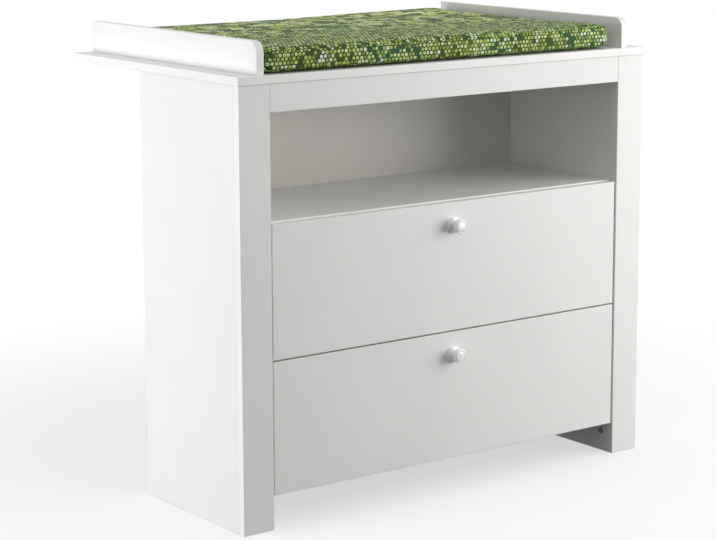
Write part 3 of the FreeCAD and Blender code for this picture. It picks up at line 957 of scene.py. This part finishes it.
class DRESSER_OT_mat(StepOperator):
    """Changing mat: a stuffed, simulated cover in dotted cloth, with seams along its edges"""

    bl_idname = "dresser.mat"
    bl_label = "Changing mat"

    def execute(self, context):
        own = looks().mat
        low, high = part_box("mat")
        blank = self.blank(low, high, own)
        self.stuff(context, blank, own)
        self.settle(blank.data, low, high)
        self.lay_out_cover(blank.data, low, high)
        mesh = blank.data
        bpy.data.objects.remove(blank)
        mesh.shade_smooth()
        material = dotted_cover()
        pad = new_piece("changing_pad", mesh, "changing_mat", material, ["mat"])
        pad.modifiers.new("fine", "SUBSURF").levels = 1
        for name, edge in (("upper_seam", high.z), ("lower_seam", low.z)):
            self.add_seam(name, mesh, low, high, edge, own.seam, material)
        return {"FINISHED"}

    @staticmethod
    def blank(low, high, own):
        """The cut of the cover: a slab with rounded corners, evenly meshed."""
        shape = bmesh.new()
        bmesh.ops.create_cube(shape, size=1)
        size = high - low - Vector((2, 2, 1)) * own.slack
        middle = (low + high) / 2 - Vector((0, 0, own.slack / 2))
        bmesh.ops.scale(shape, vec=size, verts=shape.verts)
        bmesh.ops.translate(shape, vec=middle, verts=shape.verts)
        upright = [e for e in shape.edges if abs(e.verts[0].co.z - e.verts[1].co.z) > size.z / 2]
        corner, edge = 20 * MM, 9 * MM
        bmesh.ops.bevel(shape, geom=upright, offset=corner, segments=8, affect="EDGES", profile=0.5)
        rims = [
            e for e in shape.edges
            if abs(e.verts[0].co.z - e.verts[1].co.z) < TOUCH
            and len({round(face.normal.z) for face in e.link_faces}) == 2
        ]
        bmesh.ops.bevel(shape, geom=rims, offset=edge, segments=4, affect="EDGES", profile=0.5)
        mesh = bpy.data.meshes.new("pad_blank")
        shape.to_mesh(mesh)
        shape.free()
        blank = bpy.data.objects.new("pad_blank", mesh)
        bpy.context.scene.collection.objects.link(blank)
        remesh = blank.modifiers.new("even", "REMESH")
        remesh.mode = "VOXEL"
        remesh.voxel_size = own.voxel
        return apply_modifiers(blank)

    @staticmethod
    def stuff(context, blank, own):
        """Cloth under pressure, with the push limited so that the mat keeps its size."""
        before = [vertex.co.copy() for vertex in blank.data.vertices]
        cloth = blank.modifiers.new("stuffing", "CLOTH")
        cloth.settings.use_pressure = True
        cloth.settings.uniform_pressure_force = own.pressure
        cloth.settings.effector_weights.gravity = 0
        cloth.settings.quality = 4
        cloth.point_cache.frame_start, cloth.point_cache.frame_end = 1, own.frames
        for number in range(1, own.frames + 1):
            context.scene.frame_set(number)
        graph = context.evaluated_depsgraph_get()
        swollen = blank.evaluated_get(graph).to_mesh()
        after = [vertex.co.copy() for vertex in swollen.vertices]
        blank.evaluated_get(graph).to_mesh_clear()
        blank.modifiers.clear()
        context.scene.frame_set(1)
        for vertex, start, end in zip(blank.data.vertices, before, after):
            push = end - start
            limit = own.swell / max(push.length, own.swell)
            vertex.co = start + push * limit

    @staticmethod
    def settle(mesh, low, high):
        """Brought to the mat's full size, flat where it rests, a little uneven on top."""
        middle, half = (low + high) / 2, (high - low) / 2
        ripple, dip, bulge = 1.4 * MM, 4.5 * MM, 3 * MM
        spans = [[vertex.co[axis] for vertex in mesh.vertices] for axis in range(3)]
        ends = [(min(span), max(span)) for span in spans]
        for vertex in mesh.vertices:
            for axis in range(3):
                start, end = ends[axis]
                share = (vertex.co[axis] - start) / (end - start)
                vertex.co[axis] = low[axis] + share * (high[axis] - low[axis])
            x, y = (vertex.co.x - middle.x) / half.x, (vertex.co.y - middle.y) / half.y
            rise = (vertex.co.z - low.z) / (high.z - low.z)
            uneven = math.sin(3.1 * x + 1.7 * y) * math.sin(4.3 * y - 1.1 * x + 0.6)
            sag = max(0, y - 0.1) * max(0, 0.4 - x)
            swollen = max(0, y) * max(0, x)
            vertex.co.z += rise * (ripple * uneven - dip * sag + bulge * swollen)
            vertex.co.z = max(vertex.co.z, low.z)

    @staticmethod
    def lay_out_cover(mesh, low, high):
        """Flat coordinates of the cover in metres: a top, a bottom and a band round the edge."""
        layer = mesh.uv_layers.new(name="cover")
        aside = 3 * MM
        for face in mesh.polygons:
            normal = face.normal
            for loop in face.loop_indices:
                x, y, z = mesh.vertices[mesh.loops[loop].vertex_index].co
                drop = high.z - z
                if abs(normal.z) > 0.7:
                    spot = (x, y)
                elif abs(normal.y) > abs(normal.x):
                    spot = (x + aside, low.y - drop if normal.y < 0 else high.y + drop)
                else:
                    spot = (low.x - drop if normal.x < 0 else high.x + drop, y + aside)
                layer.data[loop].uv = spot

    @staticmethod
    def add_seam(name, mesh, low, high, edge_z, radius, material):
        """A thin seam laid on the cover where its top or bottom meets the band."""
        tree = BVHTree.FromPolygons(
            [vertex.co for vertex in mesh.vertices], [face.vertices[:] for face in mesh.polygons]
        )
        corner, reach, stitch = 22 * MM, 12 * MM, 20 * MM
        outward = reach if edge_z > (low.z + high.z) / 2 else -reach
        points = []
        for sx, sy, start in ((1, -1, -90), (1, 1, 0), (-1, 1, 90), (-1, -1, 180)):
            centre = Vector((high.x if sx > 0 else low.x, high.y if sy > 0 else low.y, 0))
            centre -= Vector((sx, sy, 0)) * corner
            for step in range(9):
                angle = math.radians(start + 90 * step / 8)
                spoke = Vector((math.cos(angle), math.sin(angle), 0))
                points.append(centre + spoke * (corner + reach))
        dense = []
        for a, b in zip(points, points[1:] + points[:1]):
            count = max(1, round((b - a).length / stitch))
            dense += [a.lerp(b, k / count) for k in range(count)]
        curve = bpy.data.curves.new(name, "CURVE")
        curve.dimensions = "3D"
        curve.bevel_depth = radius
        curve.bevel_resolution = 3
        spline = curve.splines.new("POLY")
        spline.points.add(len(dense) - 1)
        for point, target in zip(spline.points, dense):
            seat = tree.find_nearest(Vector((target.x, target.y, edge_z + outward)))[0]
            seat.z = max(seat.z, low.z + radius)
            point.co = (*seat, 1)
        spline.use_cyclic_u = True
        seam = bpy.data.objects.new(name, curve)
        bpy.context.scene.collection.objects.link(seam)
        graph = bpy.context.evaluated_depsgraph_get()
        shape = bpy.data.meshes.new_from_object(seam.evaluated_get(graph))
        bpy.data.objects.remove(seam)
        layer = shape.uv_layers.new(name="cover") if not shape.uv_layers else shape.uv_layers[0]
        layer.name = "cover"
        for loop in shape.loops:
            layer.data[loop.index].uv = shape.vertices[loop.vertex_index].co[:2]
        shape.shade_smooth()
        new_piece(name, shape, "changing_mat", material)


def apply_modifiers(obj):
    """The same object with its modifiers worked into its mesh."""
    bpy.context.view_layer.update()
    graph = bpy.context.evaluated_depsgraph_get()
    mesh = bpy.data.meshes.new_from_object(obj.evaluated_get(graph))
    obj.modifiers.clear()
    obj.data = mesh
    return obj


class DRESSER_PT_looks(bpy.types.Panel):
    """The steps that dress the changing dresser"""

    bl_idname = "DRESSER_PT_looks"
    bl_label = "Changing dresser"
    bl_space_type = "VIEW_3D"
    bl_region_type = "UI"
    bl_category = "Dresser"

    def draw(self, context):
        for step in STEPS:
            self.layout.operator(step.bl_idname)
        for group in ("boards", "fittings", "mat", "studio"):
            box = self.layout.box()
            box.label(text=group.capitalize())
            settings = getattr(looks(), group)
            for name in settings.bl_rna.properties.keys():
                if name not in ("rna_type", "name"):
                    box.prop(settings, name)


STEPS = (
    DRESSER_OT_studio,
    DRESSER_OT_boards,
    DRESSER_OT_runners,
    DRESSER_OT_fixings,
    DRESSER_OT_rollers,
    DRESSER_OT_cams,
    DRESSER_OT_knobs,
    DRESSER_OT_mat,
)
CLASSES = (BoardLooks, FittingLooks, MatLooks, StudioLooks, DresserLooks, *STEPS, DRESSER_PT_looks)


def register():
    for cls in CLASSES:
        bpy.utils.register_class(cls)
    bpy.types.Scene.dresser_looks = PointerProperty(type=DresserLooks)


def unregister():
    del bpy.types.Scene.dresser_looks
    for cls in reversed(CLASSES):
        bpy.utils.unregister_class(cls)


def main():
    register()
    for step in STEPS:
        group, name = step.bl_idname.split(".")
        getattr(getattr(bpy.ops, group), name)()


if __name__ == "__main__":
    main()
